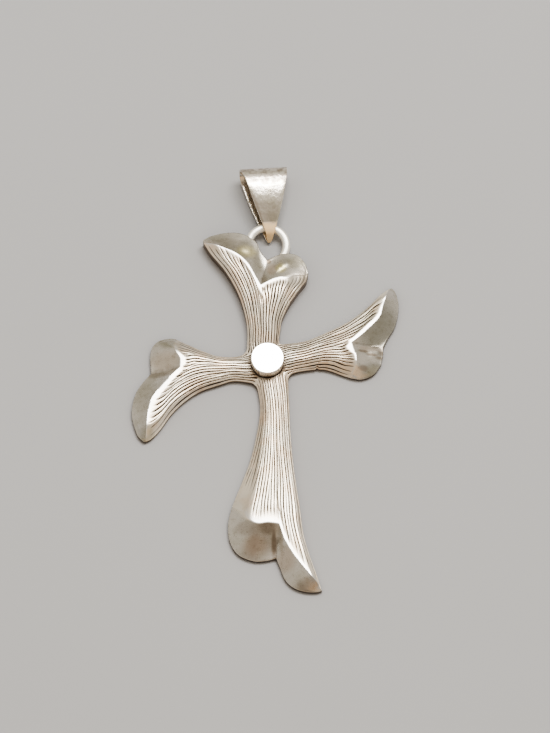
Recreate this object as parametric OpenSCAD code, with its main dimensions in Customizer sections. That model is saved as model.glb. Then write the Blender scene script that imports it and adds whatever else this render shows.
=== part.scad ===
// Silver cross pendant: four flared, fluted arms, a round button on the crossing,
// a ring soldered to the top arm and a folded bail that hangs from the ring.
// It lies on its flat back. The origin is on the back, under the button's axis,
// with +Y towards the bail and +Z up out of the front.

/* [Arms] */
// Reach of the top arm from the crossing to its furthest rim
top_out = 20.6; // [16:0.1:30]
// Reach of the top arm's long lobe to its own side
top_long = 9.7; // [7:0.1:13]
// Reach of the top arm's short lobe to its own side
top_short = 6.15; // [4.5:0.05:9]
// Reach of the right arm from the crossing to its furthest rim
right_out = 19.7; // [16:0.1:26]
// Reach of the right arm's long lobe to its own side
right_long = 12.2; // [8:0.1:15]
// Reach of the right arm's short lobe to its own side
right_short = 2.35; // [1.8:0.05:5]
// Reach of the left arm from the crossing to its furthest rim
left_out = 20.3; // [16:0.1:26]
// Reach of the left arm's long lobe to its own side
left_long = 12.35; // [8:0.1:15]
// Reach of the left arm's short lobe to its own side
left_short = 4.15; // [3:0.05:7]
// Reach of the bottom arm from the crossing to its furthest rim
bottom_out = 36.15; // [26:0.1:46]
// Reach of the bottom arm's long lobe to its own side
bottom_long = 8.25; // [6:0.1:12]
// Reach of the bottom arm's short lobe to its own side
bottom_short = 5.9; // [4:0.05:9]

/* [Stems] */
// Width of each stem where it leaves the crossing
stem_w = 4.75; // [4.2:0.05:6]
// How far each stem lies to the counter-clockwise side of the crossing's centre
stem_shift = 0.72; // [0:0.02:1.2]
// Height of the stems' side edges at the crossing
stem_edge_h = 0.95; // [0.8:0.05:1.4]
// Height of the stems' rounded crown at the crossing
crown_h = 1.85; // [1.6:0.05:2.4]

/* [Lobes] */
// Height of the sharp ridge on the left, right and bottom arms
ridge_h = 2.65; // [2:0.05:3.5]
// Height of the rim on the left, right and bottom arms
rim_h = 0.75; // [0.5:0.05:1.4]
// Height of the ridge above the rim on the top arm
top_ridge_rise = 1.2; // [0.8:0.05:2]
// Width of the level polished band on the stem side of each ridge
band_w = 1.35; // [0.6:0.05:2]
// Depth of the valley between the two lobes below their facets
valley_d = 0.28; // [0:0.02:0.5]

/* [Flutes] */
// Flutes on each half of an arm
flutes = 7; // [4:1:8]
// Depth of the flutes
flute_d = 0.12; // [0.04:0.02:0.2]

/* [Button] */
// Diameter of the polished button
button_d = 4.95; // [3.6:0.05:5.4]
// Height of the button's flat top above the back
button_top = 3.75; // [3:0.05:4.5]
// Radius of the button's rounded top edge
button_round = 0.12; // [0.05:0.01:0.3]
// Height of the flat seat under the button above the back
seat_h = 0.95; // [0.7:0.05:1.1]
// Diameter of the peg under the button
peg_d = 2; // [1.2:0.1:2.6]
// Length of the peg under the button
peg_l = 0.5; // [0.3:0.05:0.6]
// Clearance round the button and its peg
button_gap = 0.06; // [0.03:0.01:0.15]

/* [Ring] */
// Radius of the ring to the middle of its wire
ring_r = 2.85; // [2.5:0.05:3.6]
// Diameter of the ring's wire
ring_wire = 1.25; // [1:0.05:1.5]
// How far the middle of the wire lies inside the top arm's notch
ring_bury = 0.3; // [0.1:0.05:0.6]
// Metal of the top arm's rim above the wire that it covers
ring_cover = 0.06; // [0.02:0.01:0.3]

/* [Bail] */
// Length of the bail from its joined tip to its fold
bail_len = 11.1; // [9:0.1:15]
// Width of the bail at its fold
bail_w = 7.3; // [5:0.1:9]
// Width of the bail at its joined tip
bail_tip_w = 1; // [0.8:0.05:1.6]
// Depth of the bail's loop at its fold
bail_depth = 4; // [3.6:0.05:5.5]
// Thickness of the strap
bail_t = 0.36; // [0.3:0.02:0.6]
// Clearance between the ring's wire and the strap
link_gap = 0.25; // [0.2:0.01:0.4]
// Solid length of the joined tip
bail_seam = 0.4; // [0.3:0.05:0.8]
// Lean of the bail to the left of the cross
bail_lean = 6.5; // [0:0.5:12]
// Roll of the bail towards its right edge, on which it rests
bail_roll = 8.5; // [0:0.5:11]

/* [Hidden] */
$fn = 72;
fine_sides = 48;
fluted_silver = [0.72, 0.69, 0.64];
polished_silver = [0.93, 0.92, 0.9];
strap_silver = [0.75, 0.7, 0.63];

// Half widths of a stem on the side of the long lobe and on the side of the short lobe
half_long = stem_w / 2 + stem_shift;
half_short = stem_w / 2 - stem_shift;

// Columns on each half of an arm, two to a flute, and the rows of the stem and of the facets
cols = 2 * flutes;
stem_rows = 12;
facet_rows = 5;
rows = stem_rows + 1 + facet_rows;

// How quickly a stem leaves the shape of its seam, and how late it takes on that of its ridge
seam_power = 3;
ridge_power = 1.7;
// How evenly a stem rises to its polished band
rise_power = 1.15;
// How flat the stem's crown is across
crown_power = 2.4;
// How far the facets are scooped between ridge and rim
scoop_power = 1.12;
// Half width of the valley between the lobes, as a share of each lobe
valley_half = 0.32;
// The flutes' run-in from the seam and run-out before the polished band, as shares of the stem
flute_run_in = 0.12;
flute_run_out = 0.08;
// Width of the polished band on the short lobe as a share of that on the long lobe, and the
// share of the arm's half over which it changes
band_narrow = 0.6;
band_change = 0.4;
// Length of a stem as a share of its arm's reach
stem_share = 0.6;

// The strap's tip bends round the wire with a gap, and leaves room for the ring's own curve
// across the strap's width and for the bail's roll; hug_y and hug_z are the wire's place in
// the bail's side profile
wire_r = ring_wire / 2;
hug_half_w = 0.16 * bail_w;
ring_sag = pow(hug_half_w, 2) / (2 * ring_r);
hug_r = wire_r + link_gap + ring_sag / 2 + bail_t;
hug_y = bail_seam + 0.1 * bail_t + hug_r;
hug_z = bail_t + link_gap + wire_r + hug_half_w * sin(bail_roll) / 2;
// The bend starts at the joined tip and ends where the front leaf leaves the wire
bend_start = 158;
bend_end = 105;
fold_r = bail_depth / 2;
bail_pitch = asin(bail_w / 2 * sin(bail_roll) / bail_len);
bail_lift = bail_tip_w / 2 * sin(bail_roll) + hug_y * sin(bail_pitch);

// The ring rises from the notch to where the bail's back leaf passes under it
ring_far_z = bail_lift + hug_z;
ring_near_z = wire_r + (link_gap + bail_t) / 2;
ring_tilt = asin((ring_far_z - ring_near_z) / (2 * ring_r));
notch_share = 0.787;
ring_y = notch_share * top_out - ring_bury + ring_r;
wire_y = ring_y + ring_r * cos(ring_tilt) - ring_sag / 2;
top_rim_h = ring_far_z + wire_r + ring_cover;

// Side edges: share of the way from the crossing's corner to the ridge's end, and
// share of the lobe's reach that is added there to what is left of the stem's half width
TOP_LONG_EDGE = [[0, 0], [0.22, 0.06], [0.41, 0.185], [0.57, 0.34], [0.75, 0.58], [0.9, 0.84],
                 [1, 0.985]];
TOP_SHORT_EDGE = [[0, 0], [0.21, 0.105], [0.34, 0.175], [0.5, 0.34], [0.6, 0.465], [0.81, 0.77],
                  [0.9, 0.915], [1, 0.99]];
RIGHT_LONG_EDGE = [[0, 0], [0.24, 0.11], [0.39, 0.235], [0.54, 0.375], [0.65, 0.49], [0.82, 0.725],
                   [0.91, 0.88], [1, 0.99]];
RIGHT_SHORT_EDGE = [[0, 0], [0.2, -0.09], [0.53, 0], [0.67, 0.2], [0.86, 0.62], [1, 0.915]];
LEFT_LONG_EDGE = [[0, 0], [0.2, 0.015], [0.35, 0.11], [0.51, 0.23], [0.65, 0.395], [0.77, 0.59],
                  [0.87, 0.81], [0.955, 0.955], [1, 0.995]];
LEFT_SHORT_EDGE = [[0, 0], [0.17, -0.05], [0.42, 0.09], [0.59, 0.31], [0.75, 0.55], [0.9, 0.79],
                   [1, 0.945]];
BOTTOM_LONG_EDGE = [[0, 0], [0.13, 0.07], [0.32, 0.18], [0.44, 0.275], [0.65, 0.475], [0.74, 0.555],
                    [0.82, 0.67], [0.9, 0.81], [1, 0.98]];
BOTTOM_SHORT_EDGE = [[0, 0], [0.145, -0.05], [0.27, -0.015], [0.43, 0.12], [0.62, 0.32], [0.8, 0.58],
                     [0.89, 0.745], [1, 0.94]];

// Ridges and rims in two halves that meet at the valley: place from -1 at the short lobe's
// side through 0 at the valley to 1 at the long lobe's tip, share of the arm's reach out from
// the crossing, and share of the long lobe's reach to its side, or if below 0 of the short one's
TOP_RIDGE = [[-1, 0.675, -0.99], [-0.8, 0.66, -0.66], [-0.65, 0.637, -0.5], [-0.45, 0.632, -0.28],
             [-0.2, 0.607, -0.05], [0, 0.572, 0.105], [0.2, 0.655, 0.2], [0.4, 0.74, 0.3],
             [0.6, 0.81, 0.45], [0.8, 0.86, 0.66], [1, 0.917, 0.985]];
TOP_RIM = [[-1, 0.69, -1], [-0.85, 0.76, -0.92], [-0.65, 0.82, -0.75], [-0.4, 0.838, -0.48],
           [-0.15, 0.82, -0.22], [0, notch_share, 0], [0.12, 0.85, 0.1], [0.25, 0.93, 0.18],
           [0.4, 0.985, 0.36], [0.6, 1, 0.58], [0.85, 0.975, 0.86], [1, 0.94, 1]];
RIGHT_RIDGE = [[-1, 0.634, -0.915], [-0.7, 0.67, -0.35], [-0.45, 0.678, 0.03], [-0.2, 0.66, 0.13],
               [0, 0.64, 0.236], [0.2, 0.715, 0.335], [0.4, 0.79, 0.45], [0.6, 0.86, 0.59],
               [0.75, 0.882, 0.73], [0.9, 0.91, 0.87], [1, 0.929, 0.99]];
RIGHT_RIM = [[-1, 0.64, -0.93], [-0.8, 0.72, -1], [-0.55, 0.81, -0.67], [-0.3, 0.867, 0],
             [-0.15, 0.88, 0.11], [0, 0.884, 0.225], [0.2, 0.92, 0.345], [0.4, 0.965, 0.47],
             [0.6, 0.993, 0.63], [0.8, 1, 0.79], [0.93, 0.98, 0.93], [1, 0.95, 1]];
LEFT_RIDGE = [[-1, 0.665, -0.945], [-0.75, 0.68, -0.62], [-0.5, 0.675, -0.38], [-0.25, 0.645, -0.1],
              [0, 0.643, 0.087], [0.2, 0.72, 0.21], [0.4, 0.795, 0.35], [0.6, 0.86, 0.515],
              [0.75, 0.882, 0.68], [0.9, 0.89, 0.85], [1, 0.897, 0.995]];
LEFT_RIM = [[-1, 0.675, -0.975], [-0.85, 0.725, -1], [-0.6, 0.81, -0.88], [-0.4, 0.855, -0.6],
            [-0.2, 0.865, -0.2], [0, 0.86, 0.12], [0.15, 0.918, 0.23], [0.3, 0.965, 0.35],
            [0.5, 0.994, 0.51], [0.7, 1, 0.66], [0.85, 0.98, 0.81], [0.95, 0.95, 0.935], [1, 0.91, 1]];
BOTTOM_RIDGE = [[-1, 0.625, -0.94], [-0.8, 0.66, -0.6], [-0.6, 0.695, -0.48], [-0.4, 0.716, -0.25],
                [-0.2, 0.712, 0.02], [0, 0.719, 0.222], [0.3, 0.79, 0.325], [0.55, 0.85, 0.47],
                [0.75, 0.9, 0.64], [0.9, 0.955, 0.84], [1, 0.985, 0.98]];
BOTTOM_RIM = [[-1, 0.64, -0.97], [-0.85, 0.7, -1], [-0.65, 0.775, -0.955], [-0.45, 0.835, -0.745],
              [-0.25, 0.864, -0.35], [-0.1, 0.863, -0.03], [0, 0.853, 0.16], [0.15, 0.89, 0.225],
              [0.35, 0.945, 0.32], [0.55, 0.98, 0.47], [0.75, 0.998, 0.68], [0.92, 1, 0.9],
              [1, 0.993, 1]];

// Height along a ridge: place across the arm and share of the rise from the rim's height
RIDGE_RISE = [[-1, 0], [-0.85, 0.42], [-0.65, 0.86], [-0.45, 1], [0, 1], [0.6, 1], [0.8, 0.93],
              [0.92, 0.68], [1, 0]];

// Sides of the bail: share of its length from the tip, and share of its width at the fold
BAIL_SIDES = [[0.43, 0.27], [0.83, 0.435], [1.02, 0.5]];

// Columns of the arms' table: turn round the crossing, reach out of it and of the two lobes to
// their sides, the tables of the side edges, ridge and rim, and the heights of ridge and rim
TURN = 0;
REACH = 1;
LONG = 2;
SHORT = 3;
LONG_EDGE = 4;
SHORT_EDGE = 5;
RIDGE = 6;
RIM = 7;
RIDGE_H = 8;
RIM_H = 9;
ARMS = [
    [0, right_out, right_long, right_short, RIGHT_LONG_EDGE, RIGHT_SHORT_EDGE, RIGHT_RIDGE,
     RIGHT_RIM, ridge_h, rim_h],
    [90, top_out, top_long, top_short, TOP_LONG_EDGE, TOP_SHORT_EDGE, TOP_RIDGE,
     TOP_RIM, top_rim_h + top_ridge_rise, top_rim_h],
    [180, left_out, left_long, left_short, LEFT_LONG_EDGE, LEFT_SHORT_EDGE, LEFT_RIDGE,
     LEFT_RIM, ridge_h, rim_h],
    [270, bottom_out, bottom_long, bottom_short, BOTTOM_LONG_EDGE, BOTTOM_SHORT_EDGE, BOTTOM_RIDGE,
     BOTTOM_RIM, ridge_h, rim_h]
];

function last(list) = list[len(list) - 1];

function mix(a, b, share) = a + (b - a) * share;

function smooth(x) = let(k = max(0, min(1, x))) k * k * (3 - 2 * k);

// Slope of column c at row i of a table, one-sided at its ends and at the valley's crease
function slope(table, i, c, crease, side) =
    let(n = len(table) - 1,
        low = i == 0 || (table[i][0] == crease && side > 0) ? i : i - 1,
        high = i == n || (table[i][0] == crease && side < 0) ? i : i + 1)
    (table[high][c] - table[low][c]) / (table[high][0] - table[low][0]);

// Smooth curve through column c of a table, sharp where its first column is the crease
function curve(table, x, c, crease) =
    let(found = [for (i = [0:len(table) - 2]) if (x >= table[i][0]) i],
        i = last(found),
        span = table[i + 1][0] - table[i][0],
        k = (x - table[i][0]) / span,
        a = table[i][c],
        b = table[i + 1][c],
        da = slope(table, i, c, crease, 1) * span,
        db = slope(table, i + 1, c, crease, -1) * span)
    a * (1 + 2 * k) * (1 - k) * (1 - k) + da * k * (1 - k) * (1 - k)
        + b * k * k * (3 - 2 * k) - db * k * k * (1 - k);

// Place on a ridge or rim of an arm, in the arm's own frame
function line_at(arm, table, t) =
    let(side = curve(table, t, 2, 0))
    [arm[REACH] * curve(table, t, 1, 0), side * (side > 0 ? arm[LONG] : arm[SHORT])];

// Place on a side edge of an arm, on the long lobe's side (way 1) or the short lobe's (way -1)
function edge_at(arm, way, s) =
    let(long = way > 0,
        start = long ? half_short : half_long,
        half = long ? half_long : half_short,
        end = line_at(arm, arm[RIDGE], way),
        flare = curve(long ? arm[LONG_EDGE] : arm[SHORT_EDGE], s, 1, -1))
    [mix(start, end[0], s), way * (half * (1 - s) + flare * (long ? arm[LONG] : arm[SHORT]))];

// Place on the crossing's seam between two arms, from the centre out to their corner
function seam_at(t) = abs(t) * (t > 0 ? [half_short, half_long] : [half_long, -half_short]);

// Place on an arm: s from 0 at the seams to 1 at the ridge, and t across
function stem_at(arm, s, t) =
    let(share = (t + 1) / 2,
        chord = mix(edge_at(arm, -1, s), edge_at(arm, 1, s), share),
        from_seam = seam_at(t) - mix(edge_at(arm, -1, 0), edge_at(arm, 1, 0), share),
        from_ridge = line_at(arm, arm[RIDGE], t) - mix(edge_at(arm, -1, 1), edge_at(arm, 1, 1), share))
    chord + from_seam * pow(1 - s, seam_power) + from_ridge * pow(s, ridge_power);

// Start of the polished band at t across, as a share of the way to the ridge
function band_at(arm, t) =
    1 - band_w * mix(band_narrow, 1, smooth(t / band_change + 0.5)) / (arm[REACH] * stem_share);

function ridge_z(arm, t) = mix(arm[RIM_H], arm[RIDGE_H], curve(RIDGE_RISE, t, 1, -1));

// Height of an arm's stem, with a flute under each odd column
function stem_z(arm, s, t, odd) =
    let(band = band_at(arm, t),
        edge = mix(stem_edge_h, arm[RIM_H], s),
        crown = edge + (crown_h - stem_edge_h) * (1 - pow(abs(t), crown_power)),
        fade = smooth(s / flute_run_in) * smooth((band - s) / flute_run_out))
    mix(crown, ridge_z(arm, t), pow(min(1, s / band), rise_power)) - odd * flute_d * fade;

// Height of an arm's scooped end facets at q from the ridge to the rim
function facet_z(arm, q, t) =
    mix(arm[RIM_H], ridge_z(arm, t), pow(1 - q, scoop_power))
        - valley_d * max(0, 1 - abs(t) / valley_half) * sin(180 * q);

// Point of an arm's surface at row i and column j, from the arm's own frame turned into place
function arm_point(arm, i, j) =
    let(t = j / cols - 1,
        s = i > stem_rows ? 1 : i / stem_rows * band_at(arm, t),
        q = max(0, i - stem_rows - 1) / facet_rows,
        ridge = line_at(arm, arm[RIDGE], t),
        rim = line_at(arm, arm[RIM], t),
        place = q > 0 ? mix(ridge, rim, q) : stem_at(arm, s, t),
        z = q > 0 ? facet_z(arm, q, t) : stem_z(arm, s, t, j % 2))
    [place[0] * cos(arm[TURN]) - place[1] * sin(arm[TURN]),
     place[0] * sin(arm[TURN]) + place[1] * cos(arm[TURN]), z];

// The four arms as one closed body on a flat back, meeting along the crossing's seams
module arms() {
    width = 2 * cols + 1;
    layer = (rows + 1) * width;
    tops = [for (arm = ARMS) [for (i = [0:rows]) for (j = [0:width - 1]) arm_point(arm, i, j)]];
    points = [for (top = tops) each concat(top, [for (p = top) [p[0], p[1], 0]])];
    faces = [for (k = [0:len(ARMS) - 1])
        let(start = k * 2 * layer)
        each concat(
            [for (i = [0:rows - 1]) for (j = [0:width - 2])
                let(a = start + i * width + j, b = a + width)
                each [[a, a + 1, b + 1], [a, b + 1, b],
                      [layer + a, layer + b + 1, layer + a + 1], [layer + a, layer + b, layer + b + 1]]],
            [for (i = [0:rows - 1])
                let(a = start + i * width, b = a + width, c = a + width - 1, d = c + width)
                each [[a, b, layer + b], [a, layer + b, layer + a],
                      [d, c, layer + c], [d, layer + c, layer + d]]],
            [for (j = [0:width - 2])
                let(a = start + rows * width + j)
                each [[a, a + 1, layer + a + 1], [a, layer + a + 1, layer + a]]])];
    polyhedron(points, faces, convexity = 6);
}

module ring() {
    translate([0, ring_y, (ring_far_z + ring_near_z) / 2])
        rotate([ring_tilt, 0, 0])
            rotate_extrude()
                translate([ring_r, 0])
                    circle(d = ring_wire, $fn = fine_sides);
}

module cross() {
    color(fluted_silver)
        difference() {
            union() {
                arms();
                ring();
            }
            translate([0, 0, seat_h])
                cylinder(d = button_d + 2 * button_gap, h = button_top);
            translate([0, 0, seat_h - peg_l - button_gap])
                cylinder(d = peg_d + 2 * button_gap, h = button_top, $fn = fine_sides);
        }
}

module centre_button() {
    r = button_d / 2;
    foot = seat_h + button_gap;
    color(polished_silver)
        union() {
            rotate_extrude()
                polygon(concat(
                    [[0, foot], [r, foot]],
                    [for (a = [0:15:90])
                        [r - button_round * (1 - cos(a)), button_top - button_round * (1 - sin(a))]],
                    [[0, button_top]]));
            translate([0, 0, seat_h - peg_l])
                cylinder(d = peg_d, h = peg_l + 2 * button_gap, $fn = fine_sides);
        }
}

function bezier(a, b, c, d, k) =
    a * pow(1 - k, 3) + b * 3 * k * pow(1 - k, 2) + c * 3 * k * k * (1 - k) + d * pow(k, 3);

// Side profile of the strap's outer (inset 0) or inner (inset bail_t) face, round the wire and the fold
function leaf_profile(inset) =
    let(r = hug_r - inset,
        start = [hug_y + r * cos(bend_end), hug_z + r * sin(bend_end)],
        end = [bail_len - fold_r, bail_depth - inset],
        pull = 0.25 * bail_len,
        way = [sin(bend_end), -cos(bend_end)])
    concat(
        [for (a = [bend_start:-10:bend_end + 1]) [hug_y + r * cos(a), hug_z + r * sin(a)]],
        [for (k = [0:0.1:0.95]) bezier(start, start + pull * way, end - [pull, 0], end, k)],
        [for (a = [90:-10:-90])
            [bail_len - fold_r + (fold_r - inset) * cos(a), fold_r + (fold_r - inset) * sin(a)]]);

module strap_slab(profile) {
    rotate([90, 0, 90])
        translate([0, 0, -bail_w])
            linear_extrude(2 * bail_w)
                polygon(profile);
}

// Front view of the bail: a rounded tip and sides that flare to the fold
module bail_outline() {
    tip_r = bail_tip_w / 2;
    linear_extrude(2 * bail_depth)
        polygon(concat(
            [for (a = [-90:15:90]) [tip_r * sin(a), tip_r - tip_r * cos(a)]],
            [for (side = BAIL_SIDES) [side[1] * bail_w, side[0] * bail_len]],
            [for (i = [len(BAIL_SIDES) - 1:-1:0])
                [-BAIL_SIDES[i][1] * bail_w, BAIL_SIDES[i][0] * bail_len]]));
}

module bail() {
    color(strap_silver)
        translate([0, wire_y, bail_lift])
            rotate([bail_pitch, bail_roll, bail_lean])
                translate([0, -hug_y, 0])
                    intersection() {
                        difference() {
                            strap_slab(concat([[0, 0], [0, 2 * bail_t]], leaf_profile(0)));
                            strap_slab(concat([[bail_seam, bail_t]], leaf_profile(bail_t)));
                        }
                        bail_outline();
                    }
}

cross();
centre_button();
bail();
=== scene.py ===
"""Looks of the silver cross pendant: fluted arms, soldered ring, polished button and folded bail."""

from bisect import bisect_right
from math import asin, atan2, ceil, cos, hypot, pi, radians, sin, sqrt
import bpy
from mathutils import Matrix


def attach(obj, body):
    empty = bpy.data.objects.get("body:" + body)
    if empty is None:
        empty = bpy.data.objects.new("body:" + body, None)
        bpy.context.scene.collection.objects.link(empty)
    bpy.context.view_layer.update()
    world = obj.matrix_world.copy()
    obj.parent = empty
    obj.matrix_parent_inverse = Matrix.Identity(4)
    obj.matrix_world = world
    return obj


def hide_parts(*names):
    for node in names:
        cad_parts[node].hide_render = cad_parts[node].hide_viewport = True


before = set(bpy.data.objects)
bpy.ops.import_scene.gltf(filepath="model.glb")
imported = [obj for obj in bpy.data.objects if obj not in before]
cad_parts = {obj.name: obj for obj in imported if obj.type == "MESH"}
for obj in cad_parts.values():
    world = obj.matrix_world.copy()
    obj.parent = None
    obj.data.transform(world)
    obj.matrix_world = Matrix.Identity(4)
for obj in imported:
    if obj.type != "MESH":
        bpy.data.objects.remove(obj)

from types import SimpleNamespace

import bmesh
import bpy
from bpy.props import FloatProperty, FloatVectorProperty, PointerProperty
from mathutils import Matrix, Vector, noise

bl_info = {
    "name": "Silver cross pendant",
    "version": (1, 0, 0),
    "blender": (4, 5, 0),
    "location": "View3D > Sidebar > Pendant",
    "description": "Builds a fluted silver cross pendant with its button, ring and bail on a pale floor",
    "category": "Object",
}

MM = 0.001

# Light of the room all round, then overhead, low in the north and south, and behind the camera: each
# with its direction, and how squarely a direction has to face it for it to begin and to be full
ROOM = (0.38, 0.36, 0.325)
ROOM_LIGHTS = [
    ((0.33, 0.31, 0.27), (0, 0, 1), 0.5, 1),
    ((0.27, 0.255, 0.21), (0, 1, 0), 0.6, 0.95),
    ((0.46, 0.36, 0.26), (0, -1, 0), 0.55, 0.9),
    ((0.2, 0.165, 0.13), (0, -0.342, 0.94), 0.86, 0.985),
]
# Soft box: direction from the pendant, distance and size in metres, and radiance
LAMP_WAY = (0.165, 0.337, 0.927)
LAMP_AWAY = 0.9
LAMP_SIZE = (0.6, 0.32)
LAMP_RADIANCE = 5.6
# Camera: angle above the floor, place it looks at, lens, sensor, and height of the picture at the pendant
VIEW_ANGLE = radians(70)
VIEW_MIDDLE = (1.155, -0.048, 0)
LENS = 900
SENSOR = 36
PICTURE_H = 733 * 0.15 * MM

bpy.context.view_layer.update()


# ---- sizes and colours


def length(name, description, mm):
    """A length property whose default is given in millimetres."""
    return FloatProperty(name=name, description=description, default=mm * MM, min=0, precision=5,
                         unit="LENGTH")


def angle(name, description, degrees):
    """An angle property whose default is given in degrees."""
    return FloatProperty(name=name, description=description, default=radians(degrees), subtype="ANGLE")


def colour(name, description, rgb):
    """A colour property."""
    return FloatVectorProperty(name=name, description=description, default=rgb, min=0, max=1,
                               subtype="COLOR")


class PendantArmSizes(bpy.types.PropertyGroup):
    """Sizes of the four arms."""

    stem_w: length("Stem width", "Width of each stem at the crossing", 4.75)
    stem_shift: length("Stem shift", "How far each stem lies to the counter-clockwise side", 0.72)
    stem_edge_h: length("Stem edge height", "Height of the stems' side edges at the crossing", 0.95)
    crown_h: length("Crown height", "Height of the stems' rounded crown at the crossing", 1.85)
    ridge_h: length("Ridge height", "Height of the ridge on the left, right and bottom arms", 2.65)
    rim_h: length("Rim height", "Height of the rim on the left, right and bottom arms", 0.75)
    top_ridge_rise: length("Top ridge rise", "Height of the top arm's ridge above its rim", 1.2)
    valley_d: length("Valley depth", "Depth of the valley between two lobes below their facets", 0.28)
    corner_round: length("Corner rounding", "Radius of the inner corners between two arms", 0.8)
    edge_round: length("Edge rounding", "Radius of the arms' rounded upper edge", 0.12)
    neck_pitch: length("Pitch at the neck", "Distance between flutes at the button", 0.37)
    ridge_pitch: length("Pitch at the ridge", "Distance between flutes at the ridge", 0.47)
    flute_w: length("Flute width", "Width of the engraved flutes", 0.23)
    flute_d: length("Flute depth", "Depth of the engraved flutes", 0.09)


# Reaches of each arm in millimetres: out to its furthest rim, and of its long and its short lobe
for arm_side, reaches in {"top": (20.6, 9.7, 6.15), "right": (19.7, 12.2, 2.35), "left": (20.3, 12.35, 4.15),
                          "bottom": (36.15, 8.25, 5.9)}.items():
    for part, words, reach in zip(("out", "long", "short"), ("reach", "long lobe", "short lobe"), reaches):
        PendantArmSizes.__annotations__[f"{arm_side}_{part}"] = length(
            f"{arm_side.title()} {words}", f"How far the {arm_side} arm's {words} goes", reach)


class PendantFittingSizes(bpy.types.PropertyGroup):
    """Sizes of the button, the ring and the bail."""

    button_d: length("Button diameter", "Diameter of the polished button", 4.95)
    button_top: length("Button top", "Height of the button's flat top above the back", 3.75)
    button_round: length("Button rounding", "Radius of the button's rounded top edge", 0.12)
    seat_h: length("Seat height", "Height of the seat under the button above the back", 0.95)
    peg_d: length("Peg diameter", "Diameter of the peg under the button", 2.0)
    peg_l: length("Peg length", "Length of the peg under the button", 0.5)
    button_gap: length("Button clearance", "Clearance round the button and its peg", 0.06)
    ring_r: length("Ring radius", "Radius of the ring to the middle of its wire", 2.85)
    ring_wire: length("Ring wire", "Diameter of the ring's wire", 1.25)
    ring_bury: length("Ring depth in notch", "How far the wire's middle lies inside the notch", 0.3)
    ring_cover: length("Ring cover", "Metal of the top arm's rim above the wire", 0.06)
    bail_len: length("Bail length", "Length of the bail from its tip to its fold", 11.1)
    bail_w: length("Bail width", "Width of the bail at its fold", 7.3)
    bail_tip_w: length("Bail tip width", "Width of the bail at its joined tip", 1.0)
    bail_depth: length("Bail depth", "Depth of the bail's loop at its fold", 4.0)
    bail_t: length("Strap thickness", "Thickness of the bail's strap", 0.36)
    link_gap: length("Link clearance", "Clearance between the ring's wire and the strap", 0.25)
    bail_seam: length("Tip seam", "Solid length of the bail's joined tip", 0.4)
    bail_lean: angle("Bail lean", "Lean of the bail to the left", 6.5)
    bail_roll: angle("Bail roll", "Roll of the bail to its right edge", 8.5)


class PendantColours(bpy.types.PropertyGroup):
    """Colours of the finishes and of the stage, and tones that are painted over them."""

    crest: colour("Crest", "Silver on the crests between the flutes", (0.97, 0.89, 0.77))
    groove: colour("Groove", "Dark patina at the bottom of the flutes", (0.06, 0.045, 0.035))
    band: colour("Polished band", "Bright silver of the ridges and the button", (0.95, 0.93, 0.90))
    facet: colour("Facet", "Satin silver of the scooped facets", (0.73, 0.695, 0.64))
    ring: colour("Ring", "Pale satin silver of the ring", (1.0, 0.98, 0.92))
    strap: colour("Strap", "Satin silver of the bail", (0.85, 0.80, 0.73))
    # Tarnish serves mostly as painted shade: on the arms' walls, back, edges and creases, on the button's
    # lower wall and at the ring's grazing sides; partly tarnish at the button's foot
    tarnish: colour("Tarnish", "Brown tarnish in corners and at the button's foot", (0.13, 0.085, 0.055))
    blush: colour("Blush", "Tone of thin pinkish tarnish", (1.0, 0.90, 0.83))
    olive: colour("Olive", "Tone of thin greenish tarnish", (0.70, 0.69, 0.62))
    # Umber also serves as painted shade: patches on the left and right arms' lower halves, below the top
    # arm's valley and at the right arm's notch
    umber_and_shade: colour("Umber", "Tone of brown tarnish", (0.52, 0.45, 0.39))
    slate: colour("Slate", "Tone of cool grey tarnish", (0.55, 0.58, 0.62))
    straw: colour("Straw", "Tone of thin yellow tarnish", (1.0, 0.96, 0.62))
    pale: colour("Pale", "Tone of clean metal", (1.0, 1.0, 1.0))
    # Peach is a painted warm reflection on the bail's tip
    peach_reflection: colour("Peach", "Tone of the bail's heated tip", (1.0, 0.74, 0.44))
    floor: colour("Floor", "Pale plain floor", (0.54, 0.545, 0.56))
    lamp: colour("Lamp", "Light of the soft box", (1.0, 0.985, 0.96))


def sizes():
    """The arms' sizes, the fittings' sizes and the colours of this scene."""
    scene = bpy.context.scene
    return scene.pendant_arms, scene.pendant_fittings, scene.pendant_colours
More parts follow.
